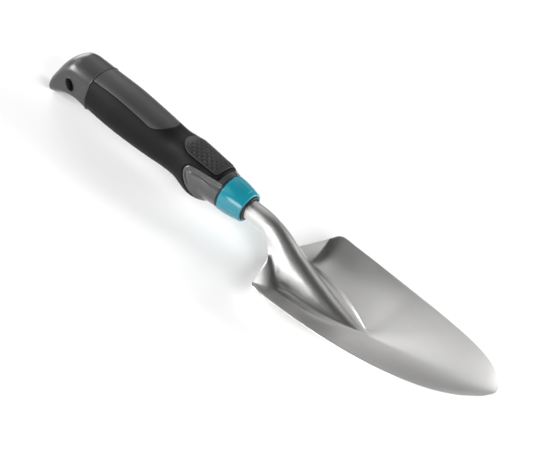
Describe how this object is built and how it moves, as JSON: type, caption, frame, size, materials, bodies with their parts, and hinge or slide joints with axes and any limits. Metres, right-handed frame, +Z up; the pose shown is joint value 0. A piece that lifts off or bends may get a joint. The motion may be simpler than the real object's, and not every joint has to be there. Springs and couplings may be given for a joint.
{
  "type": "hand trowel",
  "caption": "Hand trowel with a pressed steel scoop blade, rolled neck and soft-grip plastic handle with a thumb pad, coloured collar and hanging hole.",
  "frame": {"origin": "on the ground below the middle of the trowel, which lies on its back on the blade's grooves and the tail of the end cap", "axes": "+X from the tail of the handle to the point of the blade, +Z up out of the blade's hollow side; the two sides mirror each other across Y = 0"},
  "size_m": [0.3328, 0.0882, 0.036],
  "materials": {
    "satin_steel": "satin, faintly brushed",
    "grey_hard_plastic": "moulded, half gloss",
    "black_soft_plastic": "soft-touch, dull",
    "black_pad_plastic": "dull, dimpled",
    "grey_cap_plastic": "moulded, low gloss",
    "teal_plastic": "moulded, glossy",
    "black_rubber": "dull",
    "black_bush_plastic": "moulded, low gloss",
    "pin_steel": "plain"
  },
  "bodies": {
    "root": {"blade": "satin_steel", "handle_core": "grey_hard_plastic", "soft_grip": "black_soft_plastic", "thumb_pad": "black_pad_plastic", "end_cap": "grey_cap_plastic", "collar": "teal_plastic", "seal_ring": "black_rubber", "neck_bush": "black_bush_plastic", "tang_pin": "pin_steel"}
  },
  "joints": []
}
